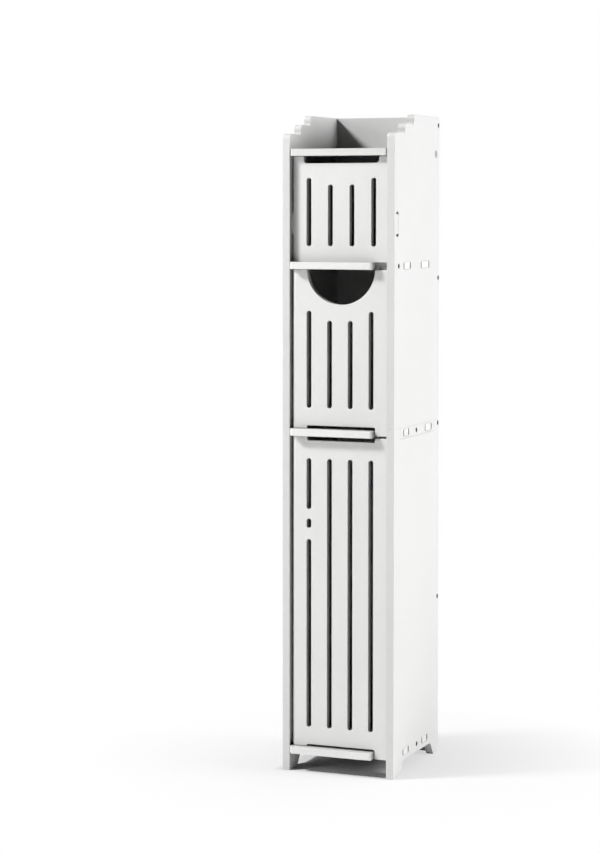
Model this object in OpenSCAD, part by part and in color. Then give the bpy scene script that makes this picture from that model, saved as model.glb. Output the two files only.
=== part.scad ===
// Slim floor cabinet for toilet rolls, cut from flat white boards that slot together.
// Two-part side panels carry three shelves on tenons. A lid flips up at the top, a slotted
// front panel is fixed below it, and two slotted doors turn on upright pins at their left edge.
// Millimetres. +X is to the right, the front faces -Y, +Z is up. The origin lies on the floor
// under the middle of the cabinet, lips included.

/* [Boards] */
// Width across both side panels
cabinet_w = 144; // [132:1:220]
// Depth of the side panels
side_d = 166; // [156:1:240]
// Thickness of the side panels
side_t = 9.5; // [8:0.5:11]
// Thickness of every other board
board_t = 8.5; // [8:0.5:10]

/* [Compartments] */
// Floor to the underside of the bottom shelf
foot_h = 22; // [20:0.5:40]
// Floor to the lower edge of the back panel
back_foot_gap = 1; // [0.5:0.5:4]
// Clear height behind the lower door
lower_clear_h = 380.3; // [300:0.1:420]
// Clear height behind the roll door
roll_clear_h = 193.5; // [150:0.5:240]
// Clear height behind the upper front panel
upper_clear_h = 128; // [110:0.1:180]
// Depth of the tray between the lid and the top of the crown
tray_depth = 42.2; // [34:0.1:50]

/* [Shelf lips] */
// How far the lips stand ahead of the side panels
lip_ahead = 6; // [4:0.5:14]
// Side panel to the left end of a lip
lip_start = 3; // [2:0.5:8]
// Right end of a lip to the side panel
lip_short = 17.5; // [15:0.5:28]
// Corner radius of a lip, seen from above
lip_r = 2; // [1:0.5:3]
// Radius of the inner corners beside a lip
lip_fillet_r = 1; // [0.5:0.5:2]

/* [Crown] */
// Rise of each step of the crown
crown_rise = 11.8; // [9:0.1:13]
// Depth of the front step
crown_front_d = 37; // [30:1:40]
// Depth of the second step
crown_second_d = 32; // [26:1:36]
// Radius of the outer corners
crown_r = 6; // [3:0.5:6]
// Radius of the inner corners
crown_fillet_r = 3; // [1:0.5:4]

/* [Feet] */
// Height of the arch between the feet
arch_h = 16.5; // [12:0.5:18]
// Front foot, along the floor
front_foot_d = 25; // [20:1:30]
// Rear foot, along the floor
rear_foot_d = 18; // [16:1:24]
// How much wider a foot is at the top of the arch
foot_flare = 12; // [6:1:16]
// Corner radius of the arch
arch_r = 8; // [4:1:10]

/* [Shelf tenons] */
// Side panel front edge to every front tenon
front_tenon_d = 36.5; // [32:0.5:40]
// Width of the upper shelf's front tenons
upper_front_tenon_w = 20; // [15:0.5:30]
// Width of the middle shelf's front tenons
middle_front_tenon_w = 15; // [12:0.5:30]
// Width of the bottom shelf's front tenons
bottom_front_tenon_w = 16; // [12:0.5:30]
// Width of the upper shelf's rear tenons
upper_rear_tenon_w = 26; // [15:0.5:30]
// Width of the middle shelf's rear tenons
middle_rear_tenon_w = 20; // [15:0.5:30]
// Width of the bottom shelf's rear tenons
bottom_rear_tenon_w = 16; // [14:0.5:26]
// Side panel back edge to the upper shelf's rear tenons
upper_rear_tenon_gap = 41; // [32:0.5:44]
// Side panel back edge to the middle shelf's rear tenons
middle_rear_tenon_gap = 30.5; // [28:0.5:34]
// Side panel back edge to the bottom shelf's rear tenons
bottom_rear_tenon_gap = 44; // [32:0.5:46]
// Room past each end of a tenon, left by the rounded end of its slot
slot_relief = 3; // [1.5:0.5:4]

/* [Side joint] */
// Rise of the joint between the side panels above the middle shelf
seam_rise = 2.5; // [0.5:0.1:3.5]
// Height of the strip let into the joint
strip_h = 13.4; // [13:0.1:17]
// Side panel front edge to the strip
strip_front_gap = 22; // [18:1:26]
// Side panel back edge to the strip
strip_back_gap = 20; // [18:1:22]
// Radius of the joint dowels
dowel_r = 2.5; // [2:0.1:3]
// Length of the joint dowels
dowel_len = 30; // [20:1:40]

/* [Upper front panel] */
// Side panel front edge to the panel's face
panel_recess = 6.8; // [6:0.1:10]
// Side panels to the front panel's edges, beside its tenons
panel_side_gap = 2; // [0.5:0.5:3]
// Width of the finger notch under the lid
lid_notch_w = 97; // [70:1:100]
// Depth of the finger notch under the lid
lid_notch_h = 8.5; // [5:0.5:12]
// Corner radius of the finger notch under the lid
lid_notch_r = 4; // [2:0.5:5]
// Corner radius at the mouth of that notch
lid_notch_mouth_r = 1; // [0.5:0.5:2]
// Upper shelf to the side tenons of the panel
panel_tenon_rise = 34; // [20:1:50]
// Height of the side tenons of the panel
panel_tenon_h = 24; // [16:1:40]

/* [Doors] */
// Side panel front edge to the face of a door
door_recess = 3; // [2:0.5:5]
// Gap beside the rounded hinge edge
hinge_gap = 2; // [1:0.5:3]
// Gap beside the closing edge
closing_gap = 0.8; // [0.6:0.1:2]
// Gap above the shelf that a door stands over
door_foot_gap = 0.6; // [0.5:0.1:1.2]
// Gap below the shelf that a door stands under
door_head_gap = 0.4; // [0.4:0.1:1.5]
// Gap between the end of a lip and the ear of a swinging door
ear_clear = 0.8; // [0.8:0.1:2]
// Height of the roll door's ear, down from the middle shelf's top
roll_ear_h = 6.3; // [5.5:0.1:7.5]
// Side panel to the finger notches
door_notch_start = 21.4; // [16:0.2:30]
// Gap between the middle lip and the foot notch of the roll door
roll_foot_notch_gap = 3.9; // [3:0.1:8]
// Gap between the bottom lip and the foot notch of the lower door
lower_foot_notch_gap = 2.9; // [2.8:0.1:8]
// Depth of the lower door's top notch
head_notch_h = 5.3; // [4.5:0.1:10]
// Corner radius of the finger notches of the doors
door_notch_r = 1.5; // [0.5:0.5:2]
// Corner radius of the foot notch of the lower door
lower_foot_notch_r = 2; // [0.5:0.5:2]
// Radius of the head notch's mouth beside the ear
head_mouth_r = 2.5; // [0.5:0.5:3]
// Radius of the round cut-out in the roll door
roll_cut_r = 44; // [36:0.5:46]
// Top of the roll door to the centre of the round cut-out
roll_cut_rise = 1.6; // [0:0.1:4]
// Middle of the cabinet to the centre of the round cut-out
roll_cut_shift = 2.5; // [0:0.1:4]

/* [Slots] */
// Number of slots in each front
slot_count = 4; // [2:1:4]
// Width of a slot
slot_w = 6; // [4:0.5:8]
// Distance from slot to slot in the upper front panel
panel_slot_pitch = 27.8; // [20:0.1:30]
// Distance from slot to slot in the doors
door_slot_pitch = 26.7; // [20:0.1:28]
// Middle of the cabinet to the middle of the slots and of the lid's notch
slot_shift = 1.5; // [0:0.1:3]
// Upper shelf to the slots of the upper front panel
panel_slot_foot = 19; // [12:1:30]
// Top of the upper front panel to its outer slots
panel_slot_head = 26.2; // [18:0.1:40]
// How much shorter the inner slots of the upper front panel are
panel_slot_step = 8; // [0:1:20]
// Middle shelf to the slots of the roll door
roll_slot_foot = 25.4; // [16:0.1:40]
// Top of the roll door to its outer slots
roll_slot_head = 50.1; // [44:0.1:60]
// How much shorter the inner slots of the roll door are
roll_slot_step = 11.5; // [9:0.5:24]
// Bottom shelf to the slots of the lower door
lower_slot_foot = 24.2; // [16:0.1:40]
// Top of the lower door to its slots
lower_slot_head = 27; // [16:0.5:40]
// Top of the lower door to the upper bridge of its first slot
upper_bridge_depth = 89; // [60:1:120]
// Height of the upper bridge
upper_bridge_h = 11.7; // [6:0.1:20]
// Height of the short slot between the two bridges
short_slot_h = 11.3; // [8:0.1:20]
// Height of the lower bridge
lower_bridge_h = 13.6; // [6:0.1:20]

/* [Pins] */
// Radius of the door pins
door_pin_r = 2; // [1.5:0.1:2.5]
// Length of a door pin inside its door
door_pin_grip = 12; // [8:1:20]
// Radius of the collar that carries a door
collar_r = 3.5; // [3:0.1:4]
// Radius of the lid pins
lid_pin_r = 2.5; // [2:0.1:3]
// Length of a lid pin inside the lid
lid_pin_grip = 12; // [8:1:20]
// Radius of the head of a lid pin
lid_pin_head_r = 4.75; // [4:0.05:6]
// Thickness of the head of a lid pin
lid_pin_head_t = 2; // [1:0.5:3]
// Gap between the lid and each side panel
lid_side_gap = 0.7; // [0.5:0.1:2]
// Radius of the lid's front corners, seen from above
lid_front_r = 1.5; // [0.5:0.5:3]
// Gap between the lid's round rear edge and the back panel
lid_back_gap = 0.5; // [0.4:0.1:2]

/* [Screws and catches] */
// Radius of a screw shank
screw_r = 1.6; // [1.2:0.1:2]
// Radius of a screw head
screw_head_r = 3; // [2.6:0.1:3.5]
// Length of a screw
screw_len = 24; // [18:1:30]
// How deep a screw head is sunk below the board's face
screw_sink = 0.4; // [0.1:0.1:1]
// Length of a screw's point
screw_tip = 2; // [1:0.5:4]
// Width and depth of the cross in a screw head
screw_cross = 0.9; // [0.6:0.1:1.2]
// Side panel front edge to the upper shelf's screws
upper_screw_d = 16; // [15.5:0.5:24]
// Side panel front edge to the middle shelf's screws
middle_screw_d = 81; // [70:1:90]
// Side panel front edge to the bottom shelf's screws
bottom_screw_d = 85; // [70:1:90]
// Top of the crown to the topmost screws of the back
back_screw_depth = 10.5; // [8:0.5:20]
// Joint of the side panels to the next screws of the back
back_screw_rise = 177.5; // [100:0.5:180]
// Joint of the side panels to the screws of the back below it
back_screw_drop = 4.6; // [4.5:0.1:10]
// Floor to the lowest screws of the back
back_screw_foot = 198; // [120:1:240]
// Radius of the catch magnets and of their steel discs
magnet_r = 2.5; // [2:0.1:2.7]
// Thickness of a catch magnet
magnet_t = 3; // [2:0.5:5]
// Thickness of a steel disc
disc_t = 1.5; // [1:0.1:2]

/* [Fits] */
// Gap around a tenon in its slot
tenon_gap = 0.15; // [0.1:0.05:0.3]
// Radial gap around a pin that turns or is pressed in
pin_gap = 0.05; // [0.02:0.01:0.1]
// Gap under a piece that rests or closes on another
rest_gap = 0.3; // [0.2:0.1:0.5]
// Room past the end of a pin or screw in a blind bore
bore_room = 0.5; // [0.3:0.1:1]
// Gap between the two door pins that meet in the middle shelf
pin_end_gap = 1; // [0.5:0.1:2]
// Play between the collar of a door pin and its shelf
collar_play = 0.1; // [0.05:0.05:0.3]

/* [Hidden] */

ROUND_FN = 48;            // facets of a full circle
CORNER_STEPS = 6;         // facets of a rounded corner
cut_over = 1;             // overshoot of a cutter past the face it opens
LEFT = -1;
RIGHT = 1;

WHITE = "#f2f2f0";
WARM_WHITE = "#ecece8";
GREY_NYLON = "#a9a9a6";
DARK_STEEL = "#3a3a3c";
BRIGHT_STEEL = "#c4c6c8";
BEECH = "#d8b98a";

// Widths and depths. Depths are measured back from the front edge of the side panels.
inner_w = cabinet_w - 2 * side_t;
front_y = (lip_ahead - side_d) / 2;
back_d = side_d - board_t;
door_back_d = door_recess + board_t;
stop_d = door_back_d + rest_gap;
lip_end = inner_w - lip_short;

// Heights
bottom_shelf_z = foot_h;
bottom_top_z = bottom_shelf_z + board_t;
middle_shelf_z = bottom_top_z + lower_clear_h;
middle_top_z = middle_shelf_z + board_t;
upper_shelf_z = middle_top_z + roll_clear_h;
upper_top_z = upper_shelf_z + board_t;
seam_z = middle_top_z + seam_rise;
strip_z = seam_z - strip_h;
lid_z = upper_top_z + upper_clear_h;
cabinet_h = lid_z + board_t + tray_depth;
panel_top_z = lid_z - rest_gap;
roll_foot_z = middle_top_z + door_foot_gap;
roll_top_z = upper_shelf_z - door_head_gap;
lower_foot_z = bottom_top_z + door_foot_gap;
lower_top_z = middle_shelf_z - door_head_gap;
roll_ear_z = middle_top_z - roll_ear_h;
crown_front_z = cabinet_h - 2 * crown_rise;
crown_second_z = cabinet_h - crown_rise;

// Pivots. The doors turn about an upright line, the lid about a line across the back.
pivot_u = hinge_gap + board_t / 2;
pivot_d = door_recess + board_t / 2;
lid_pivot_d = back_d - lid_back_gap - board_t / 2;
lid_pivot_z = lid_z + board_t / 2;
door_end_u = inner_w - closing_gap;
ear_u = pivot_u + norm([lip_end - pivot_u, lip_ahead + pivot_d]) + ear_clear;
catch_u = (ear_u + door_end_u) / 2;
roll_catch_z = roll_ear_z + roll_ear_h / 2;
lower_catch_z = bottom_shelf_z + board_t / 2;

// The two pins that meet in the middle shelf share its thickness.
door_pin_reach = (board_t - pin_end_gap) / 2;

// Where the tenons, screws and dowels of the carcass sit: [depth, width] and [depth, height]
upper_tenons = [
    [front_tenon_d, upper_front_tenon_w],
    [side_d - upper_rear_tenon_gap - upper_rear_tenon_w, upper_rear_tenon_w]
];
middle_tenons = [
    [front_tenon_d, middle_front_tenon_w],
    [side_d - middle_rear_tenon_gap - middle_rear_tenon_w, middle_rear_tenon_w]
];
bottom_tenons = [
    [front_tenon_d, bottom_front_tenon_w],
    [side_d - bottom_rear_tenon_gap - bottom_rear_tenon_w, bottom_rear_tenon_w]
];
upper_shelf_screw = [upper_screw_d, upper_shelf_z + board_t / 2];
middle_shelf_screw = [middle_screw_d, middle_shelf_z + board_t / 2];
bottom_shelf_screw = [bottom_screw_d, bottom_shelf_z + board_t / 2];
back_screw_d = side_d - board_t / 2;
upper_back_screws = [
    [back_screw_d, cabinet_h - back_screw_depth],
    [back_screw_d, seam_z + back_screw_rise]
];
lower_back_screws = [
    [back_screw_d, seam_z - back_screw_drop],
    [back_screw_d, back_screw_foot]
];
dowel_depths = [strip_front_gap / 2, (side_d - strip_back_gap + back_screw_d - screw_head_r) / 2];

// ---- Outlines ----

function flat(p) = [p.x, p.y];

function unit(v) = v / norm(v);

function polar(r, angle) = r * [cos(angle), sin(angle)];

// The same angle between -180 and 180 degrees
function short_turn(angle) = angle > 180 ? angle - 360 : angle < -180 ? angle + 360 : angle;

// The arc that rounds corner b between its neighbours a and c; b.z is the radius
function corner_arc(a, b, c) =
    let (
        to_a = unit(flat(a) - flat(b)),
        to_c = unit(flat(c) - flat(b)),
        half = acos(to_a * to_c) / 2,
        centre = flat(b) + unit(to_a + to_c) * b.z / sin(half),
        first = flat(b) + to_a * b.z / tan(half) - centre,
        last = flat(b) + to_c * b.z / tan(half) - centre,
        start = atan2(first.y, first.x),
        turn = short_turn(atan2(last.y, last.x) - start)
    )
    [for (i = [0:CORNER_STEPS]) centre + polar(b.z, start + turn * i / CORNER_STEPS)];

// A closed outline from corners of the form [x, y, radius]
function rounded(corners) =
    let (n = len(corners))
    [for (i = [0:n - 1]) each corners[i].z == 0
        ? [flat(corners[i])]
        : corner_arc(corners[(i + n - 1) % n], corners[i], corners[(i + 1) % n])];

module outline(corners) {
    polygon(rounded(corners));
}

// A rectangle from its low corner, its size and its corner radius
module rounded_box(low, size, r) {
    outline([
        [low.x, low.y, r],
        [low.x + size.x, low.y, r],
        [low.x + size.x, low.y + size.y, r],
        [low.x, low.y + size.y, r]
    ]);
}

// An upright slot with round ends
module round_slot(x, z0, z1) {
    r = slot_w / 2;
    translate([x - r, z0 + r]) square([slot_w, z1 - z0 - slot_w]);
    for (z = [z0 + r, z1 - r])
        translate([x, z]) circle(r, $fn = ROUND_FN);
}

// ---- Boards in their three directions ----

// Moves a piece drawn with depths into the cabinet's own frame
module in_cabinet() {
    translate([0, front_y, 0]) children();
}

// Mirrors the right-hand piece for the left
module on_side(side) {
    if (side == LEFT)
        mirror([1, 0, 0]) children();
    else
        children();
}

// An upright board along the depth, drawn as depth and height, on the right-hand side
module side_board() {
    in_cabinet()
        translate([inner_w / 2, 0, 0])
            rotate([90, 0, 90])
                linear_extrude(side_t) children();
}

// A cutter through such a board
module side_cut() {
    in_cabinet()
        translate([inner_w / 2 - cut_over, 0, 0])
            rotate([90, 0, 90])
                linear_extrude(side_t + 2 * cut_over) children();
}

// An upright board across the front or back, drawn as width and height
module front_board(d, thickness = board_t) {
    in_cabinet()
        translate([0, d + thickness, 0])
            rotate([90, 0, 0])
                linear_extrude(thickness) children();
}

// A level board, drawn as width and depth
module level_board(z) {
    in_cabinet()
        translate([0, 0, z])
            linear_extrude(board_t) children();
}

// An axis through the outer face of the right-hand side panel, pointing outwards
module side_axis(d, z) {
    in_cabinet()
        translate([cabinet_w / 2, d, z])
            rotate([0, 90, 0]) children();
}

// ---- Screws, pins and the holes they need ----

head_cone_h = screw_head_r - screw_r;

// A countersunk screw with a cross recess; its axis points out of the board
module screw() {
    cross_w = 1.2 * screw_head_r;
    difference() {
        translate([0, 0, -screw_sink])
            rotate_extrude($fn = ROUND_FN)
                polygon([
                    [0, 0],
                    [screw_head_r, 0],
                    [screw_r, -head_cone_h],
                    [screw_r, screw_tip - screw_len],
                    [0, -screw_len]
                ]);
        for (turn = [0, 90])
            rotate([0, 0, turn])
                translate([-cross_w / 2, -screw_cross / 2, -screw_sink - screw_cross])
                    cube([cross_w, screw_cross, screw_cross + cut_over]);
    }
}

// The countersunk hole for it in a side panel
module screw_hole() {
    translate([0, 0, -screw_sink - head_cone_h])
        cylinder(h = head_cone_h, r1 = screw_r + pin_gap, r2 = screw_head_r + pin_gap, $fn = ROUND_FN);
    translate([0, 0, -screw_sink])
        cylinder(h = screw_sink + cut_over, r = screw_head_r + pin_gap, $fn = ROUND_FN);
    translate([0, 0, -screw_len - bore_room])
        cylinder(h = screw_len + bore_room, r = screw_r + pin_gap, $fn = ROUND_FN);
}

// A headed lid pin, its head let into the side panel, its end in the lid
module lid_pin() {
    sink = rest_gap;
    len = side_t - sink + lid_side_gap + lid_pin_grip;
    translate([0, 0, -sink])
        rotate_extrude($fn = ROUND_FN)
            polygon([
                [0, 0],
                [lid_pin_head_r, 0],
                [lid_pin_head_r, -lid_pin_head_t],
                [lid_pin_r, -lid_pin_head_t],
                [lid_pin_r, -len],
                [0, -len]
            ]);
}

// The counterbored hole for it in a side panel
module lid_pin_hole() {
    seat = rest_gap + lid_pin_head_t;
    translate([0, 0, -seat])
        cylinder(h = seat + cut_over, r = lid_pin_head_r + pin_gap, $fn = ROUND_FN);
    translate([0, 0, -side_t - cut_over])
        cylinder(h = side_t + cut_over, r = lid_pin_r + pin_gap, $fn = ROUND_FN);
}

// An upright round piece on the doors' pivot line
module on_pivot(z) {
    in_cabinet()
        translate([pivot_u - inner_w / 2, pivot_d, z]) children();
}

module pivot_bore(z, h) {
    on_pivot(z) cylinder(h = h, r = door_pin_r + pin_gap, $fn = ROUND_FN);
}

// A round pocket in a face, drawn from that face backwards
module catch_bore(z, d, depth) {
    in_cabinet()
        translate([catch_u - inner_w / 2, d, z])
            rotate([-90, 0, 0])
                cylinder(h = depth, r = magnet_r + pin_gap, $fn = ROUND_FN);
}

module catch_round(z, d, depth) {
    in_cabinet()
        translate([catch_u - inner_w / 2, d, z])
            rotate([-90, 0, 0])
                cylinder(h = depth, r = magnet_r, $fn = ROUND_FN);
}

// ---- Side panels ----

// The slots that a shelf's tenons pass through, with rounded ends past each tenon
module shelf_slots(tenons, z) {
    for (t = tenons)
        rounded_box(
            [t[0] - slot_relief, z - tenon_gap],
            [t[1] + 2 * slot_relief, board_t + 2 * tenon_gap],
            slot_relief
        );
}

module panel_slot() {
    rounded_box(
        [panel_recess - tenon_gap, upper_top_z + panel_tenon_rise - slot_relief],
        [board_t + 2 * tenon_gap, panel_tenon_h + 2 * slot_relief],
        slot_relief
    );
}

module crown_outline() {
    crown_second_end = crown_front_d + crown_second_d;
    outline([
        [0, seam_z, 0],
        [0, crown_front_z, crown_r],
        [crown_front_d, crown_front_z, crown_fillet_r],
        [crown_front_d, crown_second_z, crown_r],
        [crown_second_end, crown_second_z, crown_fillet_r],
        [crown_second_end, cabinet_h, crown_r],
        [side_d, cabinet_h, crown_fillet_r],
        [side_d, seam_z, 0]
    ]);
}

module foot_outline() {
    outline([
        [0, 0, 0],
        [front_foot_d, 0, 0],
        [front_foot_d + foot_flare, arch_h, arch_r],
        [side_d - rear_foot_d - foot_flare, arch_h, arch_r],
        [side_d - rear_foot_d, 0, 0],
        [side_d, 0, 0],
        [side_d, seam_z, 0],
        [side_d - strip_back_gap, seam_z, 0],
        [side_d - strip_back_gap, strip_z, 0],
        [strip_front_gap, strip_z, 0],
        [strip_front_gap, seam_z, 0],
        [0, seam_z, 0]
    ]);
}

module dowel_row(r, len) {
    for (d = dowel_depths)
        in_cabinet()
            translate([(inner_w + side_t) / 2, d, seam_z - len / 2])
                cylinder(h = len, r = r, $fn = ROUND_FN);
}

module upper_side_panel(side) {
    color(WHITE)
        on_side(side)
            difference() {
                side_board() crown_outline();
                side_cut() shelf_slots(upper_tenons, upper_shelf_z);
                side_cut() panel_slot();
                side_axis(lid_pivot_d, lid_pivot_z) lid_pin_hole();
                for (s = concat([upper_shelf_screw], upper_back_screws))
                    side_axis(s[0], s[1]) screw_hole();
                dowel_row(dowel_r + pin_gap, dowel_len + 2 * bore_room);
            }
}

module lower_side_panel(side) {
    color(WHITE)
        on_side(side)
            difference() {
                side_board() foot_outline();
                side_cut() shelf_slots(bottom_tenons, bottom_shelf_z);
                for (s = concat([bottom_shelf_screw], lower_back_screws))
                    side_axis(s[0], s[1]) screw_hole();
                dowel_row(dowel_r + pin_gap, dowel_len + 2 * bore_room);
            }
}

// The strip fills the pocket at the top of the lower side panel and takes the middle shelf
module side_joint_strip(side) {
    color(WHITE)
        on_side(side)
            difference() {
                side_board()
                    translate([strip_front_gap + tenon_gap, strip_z + tenon_gap])
                        square([side_d - strip_front_gap - strip_back_gap - 2 * tenon_gap, strip_h - tenon_gap]);
                side_cut() shelf_slots(middle_tenons, middle_shelf_z);
                side_axis(middle_shelf_screw[0], middle_shelf_screw[1]) screw_hole();
            }
}

module side_joint_dowels() {
    color(BEECH)
        for (side = [LEFT, RIGHT])
            on_side(side) dowel_row(dowel_r, dowel_len);
}

// ---- Back panels ----

module back_panel(z0, z1, screws) {
    color(WHITE)
        difference() {
            front_board(back_d)
                translate([tenon_gap - inner_w / 2, z0])
                    square([inner_w - 2 * tenon_gap, z1 - z0]);
            for (side = [LEFT, RIGHT], s = screws)
                on_side(side) side_axis(s[0], s[1]) screw_hole();
        }
}

module upper_back_panel() {
    back_panel(seam_z, cabinet_h, upper_back_screws);
}

module lower_back_panel() {
    back_panel(back_foot_gap, seam_z, lower_back_screws);
}

// ---- Shelves ----

// Seen from above: the lip stands forward of the side panels, and right of it the shelf is
// cut back to the line that the door's ear closes on
module shelf_outline(tenons) {
    left = tenon_gap;
    right = inner_w - tenon_gap;
    translate([-inner_w / 2, 0]) {
        outline([
            [left, back_d - tenon_gap, 0],
            [left, tenon_gap, 0],
            [lip_start, tenon_gap, lip_fillet_r],
            [lip_start, -lip_ahead, lip_r],
            [lip_end, -lip_ahead, lip_r],
            [lip_end, stop_d, lip_fillet_r],
            [right, stop_d, 0],
            [right, back_d - tenon_gap, 0]
        ]);
        for (t = tenons)
            translate([tenon_gap - side_t, t[0]])
                square([inner_w + 2 * (side_t - tenon_gap), t[1]]);
    }
}

module shelf(z, tenons, screw_at) {
    difference() {
        level_board(z) shelf_outline(tenons);
        for (side = [LEFT, RIGHT])
            on_side(side) side_axis(screw_at[0], screw_at[1]) screw_hole();
    }
}

module upper_shelf() {
    reach = door_pin_reach + bore_room;
    color(WHITE)
        difference() {
            shelf(upper_shelf_z, upper_tenons, upper_shelf_screw);
            pivot_bore(upper_shelf_z - cut_over, reach + cut_over);
        }
}

module middle_shelf() {
    color(WHITE)
        difference() {
            shelf(middle_shelf_z, middle_tenons, middle_shelf_screw);
            pivot_bore(middle_shelf_z - cut_over, board_t + 2 * cut_over);
            catch_bore(roll_catch_z, stop_d - cut_over, magnet_t + cut_over);
        }
}

module bottom_shelf() {
    reach = door_pin_reach + bore_room;
    color(WHITE)
        difference() {
            shelf(bottom_shelf_z, bottom_tenons, bottom_shelf_screw);
            pivot_bore(bottom_top_z - reach, reach + cut_over);
            catch_bore(lower_catch_z, stop_d - cut_over, magnet_t + cut_over);
        }
}

// ---- Upper front panel ----

// The place of slot i across the cabinet
function slot_x(i, pitch) = slot_shift + (i - (slot_count - 1) / 2) * pitch;

// The upright slots of a front, outer ones up to top and inner ones shorter by step
module slot_row(pitch, foot, top, step) {
    for (i = [0:slot_count - 1]) {
        outer = i == 0 || i == slot_count - 1;
        round_slot(slot_x(i, pitch), foot, outer ? top : top - step);
    }
}

module upper_front_panel() {
    half_w = inner_w / 2 - panel_side_gap;
    notch_left = slot_shift - lid_notch_w / 2;
    notch_right = slot_shift + lid_notch_w / 2;
    notch_z = panel_top_z - lid_notch_h;
    color(WARM_WHITE)
        front_board(panel_recess)
            difference() {
                union() {
                    outline([
                        [-half_w, upper_top_z, 0],
                        [half_w, upper_top_z, 0],
                        [half_w, panel_top_z, 0],
                        [notch_right, panel_top_z, lid_notch_mouth_r],
                        [notch_right, notch_z, lid_notch_r],
                        [notch_left, notch_z, lid_notch_r],
                        [notch_left, panel_top_z, lid_notch_mouth_r],
                        [-half_w, panel_top_z, 0]
                    ]);
                    translate([tenon_gap - cabinet_w / 2, upper_top_z + panel_tenon_rise])
                        square([cabinet_w - 2 * tenon_gap, panel_tenon_h]);
                }
                slot_row(
                    panel_slot_pitch,
                    upper_top_z + panel_slot_foot,
                    panel_top_z - panel_slot_head,
                    panel_slot_step
                );
            }
}

// ---- Lid ----

// Its rear edge is rounded about the pins, so it can stand upright in front of the back
module top_lid() {
    half_w = inner_w / 2 - lid_side_gap;
    bore = lid_pin_grip + bore_room;
    color(WARM_WHITE)
        difference() {
            union() {
                level_board(lid_z)
                    outline([
                        [-half_w, 0, lid_front_r],
                        [half_w, 0, lid_front_r],
                        [half_w, lid_pivot_d, 0],
                        [-half_w, lid_pivot_d, 0]
                    ]);
                in_cabinet()
                    translate([-half_w, lid_pivot_d, lid_pivot_z])
                        rotate([0, 90, 0])
                            cylinder(h = 2 * half_w, r = board_t / 2, $fn = ROUND_FN);
            }
            for (side = [LEFT, RIGHT])
                on_side(side)
                    in_cabinet()
                        translate([half_w - bore, lid_pivot_d, lid_pivot_z])
                            rotate([0, 90, 0])
                                cylinder(h = bore + cut_over, r = lid_pin_r + pin_gap, $fn = ROUND_FN);
        }
}

module lid_pivot_pin(side) {
    color(GREY_NYLON)
        on_side(side) side_axis(lid_pivot_d, lid_pivot_z) lid_pin();
}

// ---- Doors ----

// A door from its outline as width from the left side panel and height. The hinge edge is
// rounded about the pivot line over its full height, from foot to top.
module door(foot, top) {
    union() {
        front_board(door_recess)
            translate([-inner_w / 2, 0]) children();
        on_pivot(foot) cylinder(h = top - foot, r = board_t / 2, $fn = ROUND_FN);
    }
}

// The foot of a door: level over the shelf, notched over the lip, with an ear at the right
// that hangs down in front of the cut-back shelf edge
function door_foot(foot, notch_z, ear_z, notch_r) = [
    [pivot_u, foot, 0],
    [door_notch_start, foot, 0],
    [door_notch_start, notch_z, notch_r],
    [ear_u, notch_z, notch_r],
    [ear_u, ear_z, door_notch_r],
    [door_end_u, ear_z, 0]
];

module door_bores(foot, top) {
    grip = door_pin_grip + bore_room;
    pivot_bore(foot - cut_over, grip + cut_over);
    pivot_bore(top - grip, grip + cut_over);
}

module roll_door() {
    foot_notch_z = middle_top_z + roll_foot_notch_gap;
    color(WARM_WHITE)
        difference() {
            door(roll_foot_z, roll_top_z)
                difference() {
                    outline(concat(
                        door_foot(roll_foot_z, foot_notch_z, roll_ear_z, door_notch_r),
                        [[door_end_u, roll_top_z, 0], [pivot_u, roll_top_z, 0]]
                    ));
                    translate([inner_w / 2 + roll_cut_shift, roll_top_z + roll_cut_rise])
                        circle(roll_cut_r, $fn = 2 * ROUND_FN);
                    translate([inner_w / 2, 0])
                        slot_row(
                            door_slot_pitch,
                            middle_top_z + roll_slot_foot,
                            roll_top_z - roll_slot_head,
                            roll_slot_step
                        );
                }
            door_bores(roll_foot_z, roll_top_z);
            catch_bore(roll_catch_z, door_back_d - disc_t, disc_t + cut_over);
        }
}

// The slots of the lower door; two bridges leave a short slot in the first one
module lower_door_slots() {
    foot = bottom_top_z + lower_slot_foot;
    top = lower_top_z - lower_slot_head;
    first_x = slot_x(0, door_slot_pitch);
    upper_bridge_top = lower_top_z - upper_bridge_depth;
    short_top = upper_bridge_top - upper_bridge_h;
    short_foot = short_top - short_slot_h;
    round_slot(first_x, upper_bridge_top, top);
    round_slot(first_x, short_foot, short_top);
    round_slot(first_x, foot, short_foot - lower_bridge_h);
    for (i = [1:slot_count - 1])
        round_slot(slot_x(i, door_slot_pitch), foot, top);
}

module lower_door() {
    foot_notch_z = bottom_top_z + lower_foot_notch_gap;
    head_notch_z = lower_top_z - head_notch_h;
    color(WARM_WHITE)
        difference() {
            door(lower_foot_z, lower_top_z)
                difference() {
                    outline(concat(
                        door_foot(lower_foot_z, foot_notch_z, bottom_shelf_z, lower_foot_notch_r),
                        [
                            [door_end_u, lower_top_z, 0],
                            [ear_u, lower_top_z, head_mouth_r],
                            [ear_u, head_notch_z, door_notch_r],
                            [door_notch_start, head_notch_z, door_notch_r],
                            [door_notch_start, lower_top_z, 0],
                            [pivot_u, lower_top_z, 0]
                        ]
                    ));
                    translate([inner_w / 2, 0]) lower_door_slots();
                }
            door_bores(lower_foot_z, lower_top_z);
            catch_bore(lower_catch_z, door_back_d - disc_t, disc_t + cut_over);
        }
}

module top_pin(top, shelf_z) {
    color(GREY_NYLON)
        on_pivot(top - door_pin_grip)
            cylinder(h = door_pin_grip + shelf_z - top + door_pin_reach, r = door_pin_r, $fn = ROUND_FN);
}

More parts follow.
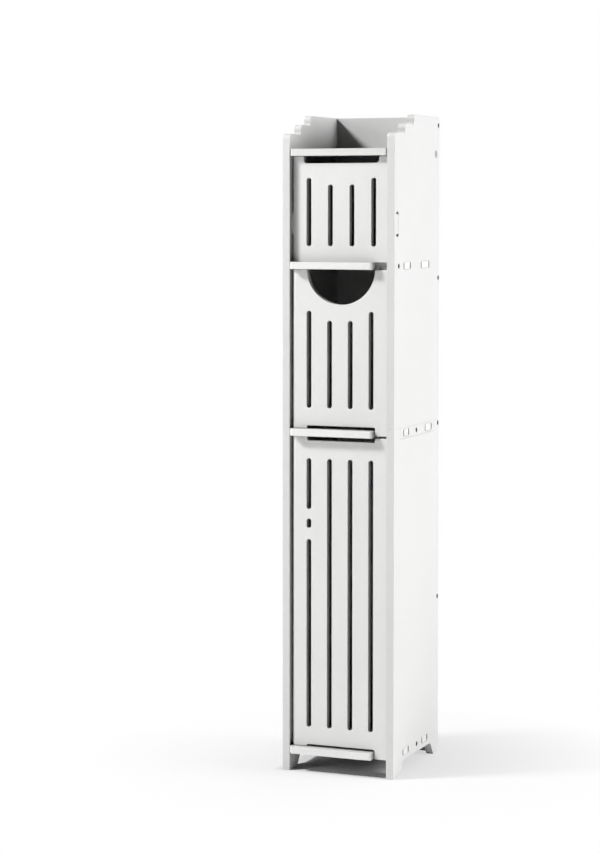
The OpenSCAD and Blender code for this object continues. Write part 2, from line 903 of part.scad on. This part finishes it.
// The bottom pin has a collar between shelf and door, which carries the door
module bottom_pin(foot, shelf_top) {
    color(GREY_NYLON)
        on_pivot(shelf_top - door_pin_reach)
            rotate_extrude($fn = ROUND_FN)
                polygon([
                    [0, 0],
                    [door_pin_r, 0],
                    [door_pin_r, door_pin_reach + collar_play],
                    [collar_r, door_pin_reach + collar_play],
                    [collar_r, door_pin_reach + foot - shelf_top],
                    [door_pin_r, door_pin_reach + foot - shelf_top],
                    [door_pin_r, door_pin_reach + foot - shelf_top + door_pin_grip],
                    [0, door_pin_reach + foot - shelf_top + door_pin_grip]
                ]);
}

// ---- Catches and fasteners ----

module catch_disc(z) {
    color(BRIGHT_STEEL) catch_round(z, door_back_d - disc_t, disc_t);
}

module catch_magnets() {
    color(BRIGHT_STEEL)
        for (z = [roll_catch_z, lower_catch_z])
            catch_round(z, stop_d, magnet_t);
}

module screws(places) {
    color(DARK_STEEL)
        for (side = [LEFT, RIGHT], s = places)
            on_side(side) side_axis(s[0], s[1]) screw();
}

upper_side_panel(LEFT);  // upper_side_panel_left
upper_side_panel(RIGHT);  // upper_side_panel_right
lower_side_panel(LEFT);  // lower_side_panel_left
lower_side_panel(RIGHT);  // lower_side_panel_right
side_joint_strip(LEFT);  // side_joint_strip_left
side_joint_strip(RIGHT);  // side_joint_strip_right
side_joint_dowels();
upper_back_panel();
lower_back_panel();
upper_front_panel();
upper_shelf();
middle_shelf();
bottom_shelf();
top_lid();
lid_pivot_pin(LEFT);  // lid_pivot_pin_left
lid_pivot_pin(RIGHT);  // lid_pivot_pin_right
roll_door();
top_pin(roll_top_z, upper_shelf_z);  // roll_door_top_pin
bottom_pin(roll_foot_z, middle_top_z);  // roll_door_bottom_pin
catch_disc(roll_catch_z);  // roll_door_catch_disc
lower_door();
top_pin(lower_top_z, middle_shelf_z);  // lower_door_top_pin
bottom_pin(lower_foot_z, bottom_top_z);  // lower_door_bottom_pin
catch_disc(lower_catch_z);  // lower_door_catch_disc
catch_magnets();
screws([upper_shelf_screw, middle_shelf_screw, bottom_shelf_screw]);  // shelf_screws
screws(concat(upper_back_screws, lower_back_screws));  // back_panel_screws
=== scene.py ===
"""Toilet roll storage cabinet: materials, arrises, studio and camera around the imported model.

Every visible solid is the CAD's own. This script rounds their arrises with modifiers and
gives each of them a procedural material. Units are metres, in the CAD's frame: +X to the
right, the front faces -Y, +Z is up.
"""

import math

import bpy
from mathutils import Matrix, Vector

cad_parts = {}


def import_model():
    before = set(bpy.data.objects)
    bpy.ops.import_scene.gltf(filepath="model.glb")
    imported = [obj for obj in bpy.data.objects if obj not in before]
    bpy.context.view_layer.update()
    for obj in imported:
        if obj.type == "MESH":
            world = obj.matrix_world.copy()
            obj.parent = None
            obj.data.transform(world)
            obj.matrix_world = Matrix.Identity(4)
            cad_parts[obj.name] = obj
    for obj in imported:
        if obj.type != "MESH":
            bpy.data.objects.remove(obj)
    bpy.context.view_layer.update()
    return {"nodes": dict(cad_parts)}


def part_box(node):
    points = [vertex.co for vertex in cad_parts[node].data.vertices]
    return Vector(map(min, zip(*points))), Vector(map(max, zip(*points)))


WHITE = (1.0, 1.0, 1.0)

# ---- Camera, fitted to the upright and level edges seen in the photograph ----
IMAGE_LONG_SIDE = 853
SENSOR = 36.0
CAMERA_PLACE = (1.0355, -2.7513, 0.6862)
CAMERA_YAW = 22.098
CAMERA_PITCH = 2.578
CAMERA_ROLL = 0.017
CAMERA_FOCUS_PX = 2385.2
CAMERA_SHIFT_Y = -0.13
CAMERA_CLIP = (0.05, 50.0)

# ---- Lamps: name, direction from the cabinet, distance, size, power ----
LAMP_CENTRE = Vector((0.0, 0.0, 0.42))
LAMP_AIM = Vector((0.0, -0.05, 0.42))
LAMPS = [
    ("key", (-1.45, -1.0, 1.6), 3.0, 0.5, 88.0),
    ("front_left", (-1.0, -1.0, 0.35), 3.2, 1.2, 25.0),
    ("right", (1.0, 0.12, 0.3), 2.6, 0.9, 41.0),
]

# ---- World: light from behind on the right, and where it fades in along +Y and +X ----
WORLD_LIGHT = 0.85
WORLD_BEHIND = (-0.1, 0.3)
WORLD_BESIDE = (-0.3, 0.4)

# ---- Floor: share of plain white at the cabinet, and the distances it rises to all over ----
FLOOR_HALF = 6.0
FLOOR_TONE = (0.86, 0.86, 0.86)
FLOOR_ROUGHNESS = 0.9
FLOOR_GLOW = 0.55
FLOOR_REACH = (0.05, 0.36)

# The box under the cabinet that has no plain white, cut off aslant before the right
# side's arch, and the width of its soft edge
COVER_CENTRE = (-0.008, 0.005, 0.0)
COVER_HALF = (0.07, 0.085, 1.0)
COVER_SLANT = (1.0, 0.405, 0.0)
COVER_END = 0.042
COVER_EDGE = (-0.004, 0.006)

# ---- Arrises: widths, the seams and flat edges to clear first, and the edges to round ----
ARRIS_WIDTHS = {
    "carcass_board": 0.0004,
    "shelf_board": 0.0003,
    "front_board": 0.0004,
    "pin_nylon": 0.0002,
}
ARRIS_SEGMENTS = 3
ARRIS_MARK = "bevel_weight_edge"
WELD_DISTANCE = 0.000002
FLAT_ANGLE = math.radians(0.3)
SHARP_ANGLE = math.radians(35)
SMALL_FACE = 0.000001
WHOLE_MARK = 0.9

# ---- Textures: each noise is its scale per metre, its detail and its roughness ----
# Most values of a noise lie in its middle, which is what a pair of levels is spread over
MIDDLE = (0.3, 0.7)

# Inputs and output of the Mix node, for numbers and for colours
MIX_NUMBERS_IN = (2, 3)
MIX_NUMBER_OUT = 0
MIX_COLOURS_IN = (6, 7)
MIX_COLOUR_OUT = 2

# ---- Foamed board: linear colour of the skin, and the tone of its milled edges ----
# Skin tones are set per kind of board to its seen brightness, so they are partly painted light
# and shade; the darker milled edges of carcass and front boards are partly painted shade
BOARD_TONES_AND_SHADE = {
    "carcass_board": ((0.81, 0.81, 0.805), (0.93, 0.93, 0.92)),
    "front_board": ((0.84, 0.84, 0.83), (0.93, 0.93, 0.92)),
    "shelf_board": ((0.89, 0.89, 0.88), (1.0, 1.0, 0.995)),
}
# Painted shade: the darker board colour that bounced light sees, which darkens the slots, the
# insides and the recesses
BOUNCE_SHADE_TONE = (0.2, 0.2, 0.2)
AXIS_NAMES = ("across", "deep", "upright")

# A face is a milled edge up to the first share of its normal that lies along the skin's
# normal, and skin from the second on
CUT_FACING = (0.5, 0.9)

CLOUD_NOISE = (9.0, 3.0, 0.5)
CLOUD_SHADE = 0.975
MOTTLE_NOISE = (240.0, 2.0, 0.5)
MOTTLE_TONE = (0.988, 0.988, 0.986)
PORE_SCALE = 1500.0
PORE_TONE = (0.86, 0.86, 0.85)
PORE_REACH = (0.12, 0.3)
SKIN_GLOSS_NOISE = (35.0, 4.0, 0.6)
SKIN_ROUGHNESS = (0.36, 0.46)
CUT_ROUGHNESS = (0.68, 0.56)
CUT_ROUGHNESS_REACH = (0.1, 0.5)

# Bump strengths on the skin and on the milled edges
WAVE_NOISE = (28.0, 1.0, 0.5)
WAVE_STRENGTH = 0.05
WAVE_HEIGHT = 0.004
PEEL_NOISE = (800.0, 2.0, 0.5)
PEEL_STRENGTHS = (0.1, 0.02)
MILLING_NOISE = (1100.0, 2.0, 0.5)
MILLING_STRENGTHS = (0.0, 0.22)
MILLING_STRETCH = 0.03
FINE_HEIGHT = 0.0002

# ---- Nylon pins ----
NYLON_GREY = (0.4, 0.4, 0.39)
NYLON_SHADE = 0.88
NYLON_FLOW_NOISE = (420.0, 4.0, 0.6)
NYLON_FLOW_STRETCH = (1.0, 1.0, 0.3)
NYLON_ROUGHNESS = (0.38, 0.5)
NYLON_GRAIN_NOISE = (4200.0, 2.0, 0.5)
NYLON_GRAIN_STRENGTH = 0.25
NYLON_GRAIN_HEIGHT = 0.00005

# ---- Nickel plate of the catches ----
NICKEL = (0.75, 0.74, 0.72)
NICKEL_SHADE = 0.85
NICKEL_TARNISH_NOISE = (300.0, 4.0, 0.5)
NICKEL_ROUGHNESS = (0.2, 0.34)
NICKEL_SCRATCH_NOISE = (5000.0, 3.0, 0.5)
NICKEL_SCRATCH_STRETCH = (1.0, 0.1, 0.1)
NICKEL_SCRATCH_STRENGTH = 0.12
NICKEL_SCRATCH_HEIGHT = 0.00003
NICKEL_METALLIC = 1.0

# ---- Dark zinc of the screws ----
ZINC = (0.022, 0.022, 0.024)
ZINC_WEAR = 2.2
ZINC_WEAR_REACH = (0.45, 0.72)
ZINC_NOISE = (1800.0, 4.0, 0.6)
ZINC_ROUGHNESS = (0.36, 0.52)
ZINC_STRENGTH = 0.2
ZINC_HEIGHT = 0.00005
ZINC_METALLIC = 0.6

# ---- Beech of the dowels ----
BEECH = (0.62, 0.43, 0.25)
BEECH_SHADE = 0.72
BEECH_GRAIN_NOISE = (1500.0, 4.0, 0.6)
BEECH_GRAIN_STRETCH = (1.0, 1.0, 0.08)
BEECH_FLECK_SCALE = 1300.0
BEECH_FLECK_STRETCH = (1.0, 1.0, 0.25)
BEECH_FLECK_TONE = (0.6, 0.5, 0.42)
BEECH_FLECK_REACH = (0.1, 0.22)
BEECH_FLECK_SHARES = (0.2, 0.7)
BEECH_ROUGHNESS = (0.7, 0.55)
BEECH_STRENGTH = 0.3
BEECH_HEIGHT = 0.0001


def new_material(name):
    """A material with an empty Principled shader, its nodes and its links."""
    material = bpy.data.materials.new(name)
    material.use_nodes = True
    tree = material.node_tree
    tree.nodes.clear()
    output = tree.nodes.new("ShaderNodeOutputMaterial")
    shader = tree.nodes.new("ShaderNodeBsdfPrincipled")
    tree.links.new(shader.outputs["BSDF"], output.inputs["Surface"])
    return material, tree, shader


def feed(tree, value, socket):
    """Links an output to a socket, or sets the socket to a plain value."""
    if isinstance(value, bpy.types.NodeSocket):
        tree.links.new(value, socket)
    else:
        socket.default_value = value


def maths(tree, operation, first, second):
    node = tree.nodes.new("ShaderNodeMath")
    node.operation = operation
    feed(tree, first, node.inputs[0])
    feed(tree, second, node.inputs[1])
    return node.outputs["Value"]


def vector_maths(tree, operation, first, second=None, result="Vector"):
    node = tree.nodes.new("ShaderNodeVectorMath")
    node.operation = operation
    feed(tree, first, node.inputs[0])
    if second is not None:
        feed(tree, second, node.inputs[1])
    return node.outputs[result]


def object_coordinates(tree):
    return tree.nodes.new("ShaderNodeTexCoord").outputs["Object"]


def stretched(tree, vector, scale):
    """Coordinates scaled along each axis, which draws a texture out along the small ones."""
    return vector_maths(tree, "MULTIPLY", vector, scale)


def noise(tree, vector, kind):
    scale, detail, roughness = kind
    node = tree.nodes.new("ShaderNodeTexNoise")
    node.inputs["Scale"].default_value = scale
    node.inputs["Detail"].default_value = detail
    node.inputs["Roughness"].default_value = roughness
    tree.links.new(vector, node.inputs["Vector"])
    return node.outputs["Fac"]


def cells(tree, vector, scale):
    """Distance from the middle of each cell, for pores and grains."""
    node = tree.nodes.new("ShaderNodeTexVoronoi")
    node.inputs["Scale"].default_value = scale
    tree.links.new(vector, node.inputs["Vector"])
    return node.outputs["Distance"]


def ramp(tree, factor, tones, reach=MIDDLE):
    """Goes from one tone to another over a reach of the factor."""
    node = tree.nodes.new("ShaderNodeValToRGB")
    for element, tone, position in zip(node.color_ramp.elements, tones, reach):
        element.position = position
        element.color = (*tone, 1.0)
    tree.links.new(factor, node.inputs["Fac"])
    return node.outputs["Color"]


def spread(tree, factor, levels, reach=MIDDLE, interpolation="LINEAR"):
    """Goes from one level to another over a reach of the factor."""
    node = tree.nodes.new("ShaderNodeMapRange")
    node.interpolation_type = interpolation
    node.inputs["From Min"].default_value = reach[0]
    node.inputs["From Max"].default_value = reach[1]
    node.inputs["To Min"].default_value = levels[0]
    node.inputs["To Max"].default_value = levels[1]
    tree.links.new(factor, node.inputs["Value"])
    return node.outputs["Result"]


def blend_values(tree, share, low, high):
    """low where the share is 0 and high where it is 1; each may be a number or an output."""
    node = tree.nodes.new("ShaderNodeMix")
    node.data_type = "FLOAT"
    tree.links.new(share, node.inputs["Factor"])
    for index, value in zip(MIX_NUMBERS_IN, (low, high)):
        feed(tree, value, node.inputs[index])
    return node.outputs[MIX_NUMBER_OUT]


def tint(tree, share, colour, toned):
    """Multiplies a colour by a tone, or by an output, as far as the share says."""
    node = tree.nodes.new("ShaderNodeMix")
    node.data_type = "RGBA"
    node.blend_type = "MULTIPLY"
    tree.links.new(share, node.inputs["Factor"])
    if isinstance(toned, tuple):
        toned = (*toned, 1.0)
    for index, value in zip(MIX_COLOURS_IN, (colour, toned)):
        feed(tree, value, node.inputs[index])
    return node.outputs[MIX_COLOUR_OUT]


def bump(tree, height, strength, distance, onto=None):
    node = tree.nodes.new("ShaderNodeBump")
    node.inputs["Distance"].default_value = distance
    feed(tree, strength, node.inputs["Strength"])
    tree.links.new(height, node.inputs["Height"])
    if onto is not None:
        tree.links.new(onto, node.inputs["Normal"])
    return node.outputs["Normal"]


def mix_shaders(tree, share, low, high):
    node = tree.nodes.new("ShaderNodeMixShader")
    tree.links.new(share, node.inputs["Fac"])
    tree.links.new(low, node.inputs[1])
    tree.links.new(high, node.inputs[2])
    return node.outputs["Shader"]


def shaded(tone, share):
    return tuple(share * c for c in tone)


def along_axis(axis, on_it, off_it):
    """A vector with one value on an axis and another on the two others."""
    return tuple(on_it if i == axis else off_it for i in range(3))


def cut_share(tree, axis):
    """0 on the pressed skin of a board, 1 on its milled edges, between them over the arris."""
    normal = tree.nodes.new("ShaderNodeTexCoord").outputs["Normal"]
    facing = vector_maths(tree, "DOT_PRODUCT", normal, along_axis(axis, 1.0, 0.0), "Value")
    return spread(tree, maths(tree, "ABSOLUTE", facing, 0.0), (1.0, 0.0), CUT_FACING)


def dim_bounces(tree, colour):
    """Light that has already bounced counts for less, as the slots are dark in the photograph."""
    path = tree.nodes.new("ShaderNodeLightPath")
    # Painted shade: bounced light sees the board colour multiplied by the bounce shade tone
    return tint(tree, path.outputs["Is Diffuse Ray"], colour, BOUNCE_SHADE_TONE)


def thin_axis(name):
    """The axis that a board is thinnest along, which its skins face."""
    low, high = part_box(name)
    return min(range(3), key=lambda axis: high[axis] - low[axis])


def board_colour(tree, place, cut, pores, tone, cut_tone_and_shade):
    """Faint clouds and mottle all over, and pores on the milled edges."""
    cloud = noise(tree, place, CLOUD_NOISE)
    mottle = noise(tree, place, MOTTLE_NOISE)
    colour = ramp(tree, cloud, (shaded(tone, CLOUD_SHADE), tone))
    colour = tint(tree, spread(tree, mottle, (0.0, 1.0)), colour, MOTTLE_TONE)
    colour = tint(tree, cut, colour, ramp(tree, pores, (PORE_TONE, WHITE), PORE_REACH))
    # Partly painted shade: the cut tone dims the milled edges of carcass and front boards
    colour = tint(tree, cut, colour, cut_tone_and_shade)
    return dim_bounces(tree, colour)


def board_roughness(tree, place, cut, pores):
    skin = spread(tree, noise(tree, place, SKIN_GLOSS_NOISE), SKIN_ROUGHNESS)
    milled = spread(tree, pores, CUT_ROUGHNESS, CUT_ROUGHNESS_REACH)
    return blend_values(tree, cut, skin, milled)


def board_relief(tree, place, cut, axis):
    """Slow waves, orange peel on the skin, and cutter marks across the milled edges."""
    across = stretched(tree, place, along_axis(axis, MILLING_STRETCH, 1.0))
    waves = bump(tree, noise(tree, place, WAVE_NOISE), WAVE_STRENGTH, WAVE_HEIGHT)
    layers = ((place, PEEL_NOISE, PEEL_STRENGTHS), (across, MILLING_NOISE, MILLING_STRENGTHS))
    relief = waves
    for vector, kind, strengths in layers:
        strength = blend_values(tree, cut, *strengths)
        relief = bump(tree, noise(tree, vector, kind), strength, FINE_HEIGHT, relief)
    return relief


def board_material(name, tone, cut_tone_and_shade, axis):
    """Foamed board: satin skin with a faint orange peel, and milled edges with open cells."""
    material, tree, shader = new_material(name + "_finish")
    place = object_coordinates(tree)
    cut = cut_share(tree, axis)
    pores = cells(tree, place, PORE_SCALE)
    colour = board_colour(tree, place, cut, pores, tone, cut_tone_and_shade)
    tree.links.new(colour, shader.inputs["Base Color"])
    tree.links.new(board_roughness(tree, place, cut, pores), shader.inputs["Roughness"])
    tree.links.new(board_relief(tree, place, cut, axis), shader.inputs["Normal"])
    return material


def nylon_material():
    """Grey moulded nylon with a fine spark-eroded grain and a few paler flow marks."""
    material, tree, shader = new_material("pin_nylon_finish")
    place = object_coordinates(tree)
    flow = noise(tree, stretched(tree, place, NYLON_FLOW_STRETCH), NYLON_FLOW_NOISE)
    colour = ramp(tree, flow, (shaded(NYLON_GREY, NYLON_SHADE), NYLON_GREY))
    grain = noise(tree, place, NYLON_GRAIN_NOISE)
    relief = bump(tree, grain, NYLON_GRAIN_STRENGTH, NYLON_GRAIN_HEIGHT)
    tree.links.new(colour, shader.inputs["Base Color"])
    tree.links.new(spread(tree, flow, NYLON_ROUGHNESS), shader.inputs["Roughness"])
    tree.links.new(relief, shader.inputs["Normal"])
    return material


def nickel_material():
    """Nickel plate with fine turned rings of scratches."""
    material, tree, shader = new_material("catch_steel_finish")
    place = object_coordinates(tree)
    tarnish = noise(tree, place, NICKEL_TARNISH_NOISE)
    colour = ramp(tree, tarnish, (shaded(NICKEL, NICKEL_SHADE), NICKEL))
    scratches = noise(tree, stretched(tree, place, NICKEL_SCRATCH_STRETCH), NICKEL_SCRATCH_NOISE)
    relief = bump(tree, scratches, NICKEL_SCRATCH_STRENGTH, NICKEL_SCRATCH_HEIGHT)
    tree.links.new(colour, shader.inputs["Base Color"])
    tree.links.new(spread(tree, tarnish, NICKEL_ROUGHNESS), shader.inputs["Roughness"])
    tree.links.new(relief, shader.inputs["Normal"])
    shader.inputs["Metallic"].default_value = NICKEL_METALLIC
    return material


def screw_material():
    """Dark zinc on steel, dull, with brighter worn grains."""
    material, tree, shader = new_material("screw_steel_finish")
    place = object_coordinates(tree)
    grain = noise(tree, place, ZINC_NOISE)
    colour = ramp(tree, grain, (ZINC, shaded(ZINC, ZINC_WEAR)), ZINC_WEAR_REACH)
    tree.links.new(colour, shader.inputs["Base Color"])
    tree.links.new(spread(tree, grain, ZINC_ROUGHNESS), shader.inputs["Roughness"])
    tree.links.new(bump(tree, grain, ZINC_STRENGTH, ZINC_HEIGHT), shader.inputs["Normal"])
    shader.inputs["Metallic"].default_value = ZINC_METALLIC
    return material


def beech_material():
    """Turned beech: grain along the dowel, with short darker flecks."""
    material, tree, shader = new_material("dowel_wood_finish")
    place = object_coordinates(tree)
    grain = noise(tree, stretched(tree, place, BEECH_GRAIN_STRETCH), BEECH_GRAIN_NOISE)
    flecks = cells(tree, stretched(tree, place, BEECH_FLECK_STRETCH), BEECH_FLECK_SCALE)
    colour = ramp(tree, grain, (shaded(BEECH, BEECH_SHADE), BEECH))
    fleck_tone = ramp(tree, flecks, (BEECH_FLECK_TONE, WHITE), BEECH_FLECK_REACH)
    colour = tint(tree, spread(tree, grain, BEECH_FLECK_SHARES), colour, fleck_tone)
    tree.links.new(colour, shader.inputs["Base Color"])
    tree.links.new(spread(tree, grain, BEECH_ROUGHNESS), shader.inputs["Roughness"])
    tree.links.new(bump(tree, grain, BEECH_STRENGTH, BEECH_HEIGHT), shader.inputs["Normal"])
    return material


def arris_marks():
    """Geometry nodes that mark the sharp edges to round, apart from those of small bores."""
    group = bpy.data.node_groups.new("arris marks", "GeometryNodeTree")
    group.interface.new_socket("Geometry", in_out="INPUT", socket_type="NodeSocketGeometry")
    group.interface.new_socket("Geometry", in_out="OUTPUT", socket_type="NodeSocketGeometry")
    nodes, links = group.nodes, group.links
    entry = nodes.new("NodeGroupInput")
    way_out = nodes.new("NodeGroupOutput")
    angle = nodes.new("GeometryNodeInputMeshEdgeAngle")
    sharp = nodes.new("FunctionNodeCompare")
    sharp.operation = "GREATER_THAN"
    sharp.inputs["B"].default_value = SHARP_ANGLE
    links.new(angle.outputs["Unsigned Angle"], sharp.inputs["A"])
    area = nodes.new("GeometryNodeInputMeshFaceArea")
    beside = nodes.new("GeometryNodeFieldOnDomain")
    beside.domain = "FACE"
    small = maths(group, "LESS_THAN", area.outputs["Area"], SMALL_FACE)
    links.new(small, beside.inputs["Value"])
    clear = maths(group, "SUBTRACT", sharp.outputs["Result"], beside.outputs["Value"])
    store = nodes.new("GeometryNodeStoreNamedAttribute")
    store.data_type = "FLOAT"
    store.domain = "EDGE"
    store.inputs["Name"].default_value = ARRIS_MARK
    links.new(entry.outputs["Geometry"], store.inputs["Geometry"])
    links.new(maths(group, "GREATER_THAN", clear, WHOLE_MARK), store.inputs["Value"])
    links.new(store.outputs["Geometry"], way_out.inputs["Geometry"])
    return group


def round_arrises(piece, width, marks):
    """Welds the seams between faces, joins flat triangles and rounds the arrises."""
    weld = piece.modifiers.new("weld", "WELD")
    weld.merge_threshold = WELD_DISTANCE
    flat = piece.modifiers.new("flat", "DECIMATE")
    flat.decimate_type = "DISSOLVE"
    flat.angle_limit = FLAT_ANGLE
    piece.modifiers.new("marks", "NODES").node_group = marks
    bevel = piece.modifiers.new("arris", "BEVEL")
    bevel.limit_method = "WEIGHT"
    bevel.edge_weight = ARRIS_MARK
    bevel.width = width
    bevel.segments = ARRIS_SEGMENTS
    bevel.use_clamp_overlap = False
    bevel.harden_normals = True


def add_area(name, direction, distance, size, power):
    """A square lamp seen from the middle of the cabinet in a direction, aimed back at it."""
    data = bpy.data.lights.new(name, "AREA")
    data.shape = "SQUARE"
    data.size = size
    data.energy = power
    lamp = bpy.data.objects.new(name, data)
    place = LAMP_CENTRE + distance * Vector(direction).normalized()
    lamp.location = place
    lamp.rotation_euler = (LAMP_AIM - place).to_track_quat("-Z", "Y").to_euler()
    bpy.context.scene.collection.objects.link(lamp)


def add_camera():
    yaw, pitch, roll = (math.radians(a) for a in (CAMERA_YAW, CAMERA_PITCH, CAMERA_ROLL))
    level = Vector((math.cos(yaw), math.sin(yaw), 0.0))
    forward = Vector((
        -math.sin(yaw) * math.cos(pitch),
        math.cos(yaw) * math.cos(pitch),
        -math.sin(pitch),
    ))
    upright = level.cross(forward)
    right = math.cos(roll) * level + math.sin(roll) * upright
    up = math.cos(roll) * upright - math.sin(roll) * level
    turn = Matrix((right, up, -forward)).transposed().to_4x4()
    data = bpy.data.cameras.new("camera")
    data.sensor_width = SENSOR
    data.lens = CAMERA_FOCUS_PX * SENSOR / IMAGE_LONG_SIDE
    data.shift_y = CAMERA_SHIFT_Y
    data.clip_start, data.clip_end = CAMERA_CLIP
    camera = bpy.data.objects.new("camera", data)
    camera.matrix_world = Matrix.Translation(CAMERA_PLACE) @ turn
    bpy.context.scene.collection.objects.link(camera)
    bpy.context.scene.camera = camera


def outside_cover(tree, place):
    """0 on the floor under the cabinet, as far as the slant before the arch, and 1 around it."""
    offset = vector_maths(tree, "SUBTRACT", place, COVER_CENTRE)
    past_half = vector_maths(tree, "SUBTRACT", vector_maths(tree, "ABSOLUTE", offset), COVER_HALF)
    parts = tree.nodes.new("ShaderNodeSeparateXYZ")
    tree.links.new(past_half, parts.inputs["Vector"])
    past_box = maths(tree, "MAXIMUM", parts.outputs["X"], parts.outputs["Y"])
    aslant = vector_maths(tree, "DOT_PRODUCT", place, COVER_SLANT, "Value")
    past_slant = maths(tree, "SUBTRACT", aslant, COVER_END)
    past = maths(tree, "MAXIMUM", past_box, past_slant)
    return spread(tree, past, (0.0, 1.0), COVER_EDGE)


def add_floor():
    """A pale floor that shows its shadows near the cabinet and is plain white further off."""
    mesh = bpy.data.meshes.new("floor")
    signs = ((-1, -1), (1, -1), (1, 1), (-1, 1))
    corners = [(x * FLOOR_HALF, y * FLOOR_HALF, 0.0) for x, y in signs]
    mesh.from_pydata(corners, [], [(0, 1, 2, 3)])
    floor = bpy.data.objects.new("floor", mesh)
    bpy.context.scene.collection.objects.link(floor)
    material, tree, shader = new_material("floor")
    shader.inputs["Base Color"].default_value = (*FLOOR_TONE, 1.0)
    shader.inputs["Roughness"].default_value = FLOOR_ROUGHNESS
    glow = tree.nodes.new("ShaderNodeEmission")
    path = tree.nodes.new("ShaderNodeLightPath")
    seen = maths(tree, "MAXIMUM", path.outputs["Is Camera Ray"], path.outputs["Is Glossy Ray"])
    place = object_coordinates(tree)
    distance = vector_maths(tree, "LENGTH", place, result="Value")
    fade = spread(tree, distance, (FLOOR_GLOW, 1.0), FLOOR_REACH)
    open_floor = maths(tree, "MULTIPLY", fade, outside_cover(tree, place))
    share = maths(tree, "MULTIPLY", seen, open_floor)
    surface = mix_shaders(tree, share, shader.outputs["BSDF"], glow.outputs["Emission"])
    output = next(n for n in tree.nodes if n.type == "OUTPUT_MATERIAL")
    tree.links.new(surface, output.inputs["Surface"])
    mesh.materials.append(material)


def white_background(tree, strength):
    node = tree.nodes.new("ShaderNodeBackground")
    node.inputs["Color"].default_value = (*WHITE, 1.0)
    feed(tree, strength, node.inputs["Strength"])
    return node.outputs["Background"]


def add_world():
    """Light from behind on the right, and plain white where the camera sees past the floor."""
    world = bpy.data.worlds.new("world")
    bpy.context.scene.world = world
    world.use_nodes = True
    tree = world.node_tree
    tree.nodes.clear()
    output = tree.nodes.new("ShaderNodeOutputWorld")
    direction = tree.nodes.new("ShaderNodeTexCoord").outputs["Generated"]
    parts = tree.nodes.new("ShaderNodeSeparateXYZ")
    tree.links.new(direction, parts.inputs["Vector"])
    behind = spread(tree, parts.outputs["Y"], (0.0, WORLD_LIGHT), WORLD_BEHIND, "SMOOTHSTEP")
    beside = spread(tree, parts.outputs["X"], (0.0, 1.0), WORLD_BESIDE, "SMOOTHSTEP")
    light = white_background(tree, maths(tree, "MULTIPLY", behind, beside))
    plain = white_background(tree, 1.0)
    path = tree.nodes.new("ShaderNodeLightPath")
    surface = mix_shaders(tree, path.outputs["Is Camera Ray"], light, plain)
    tree.links.new(surface, output.inputs["Surface"])


def dress_pieces(pieces):
    """Gives each of the CAD's pieces its material and, where it has them, its arrises."""
    materials = {
        "pin_nylon": nylon_material(),
        "catch_steel": nickel_material(),
        "screw_steel": screw_material(),
        "dowel_wood": beech_material(),
    }
    marks = arris_marks()
    for name, piece in pieces.items():
        slot = piece.material_slots[0].material.name
        finish = slot
        if slot in BOARD_TONES_AND_SHADE:
            axis = thin_axis(name)
            finish = f"{slot}_{AXIS_NAMES[axis]}"
            if finish not in materials:
                materials[finish] = board_material(finish, *BOARD_TONES_AND_SHADE[slot], axis)
        piece.material_slots[0].material = materials[finish]
        if slot in ARRIS_WIDTHS:
            round_arrises(piece, ARRIS_WIDTHS[slot], marks)


def main():
    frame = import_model()
    dress_pieces(frame["nodes"])
    add_floor()
    add_world()
    for lamp in LAMPS:
        add_area(*lamp)
    add_camera()


scene = bpy.context.scene
scene.view_settings.view_transform = "Standard"
main()
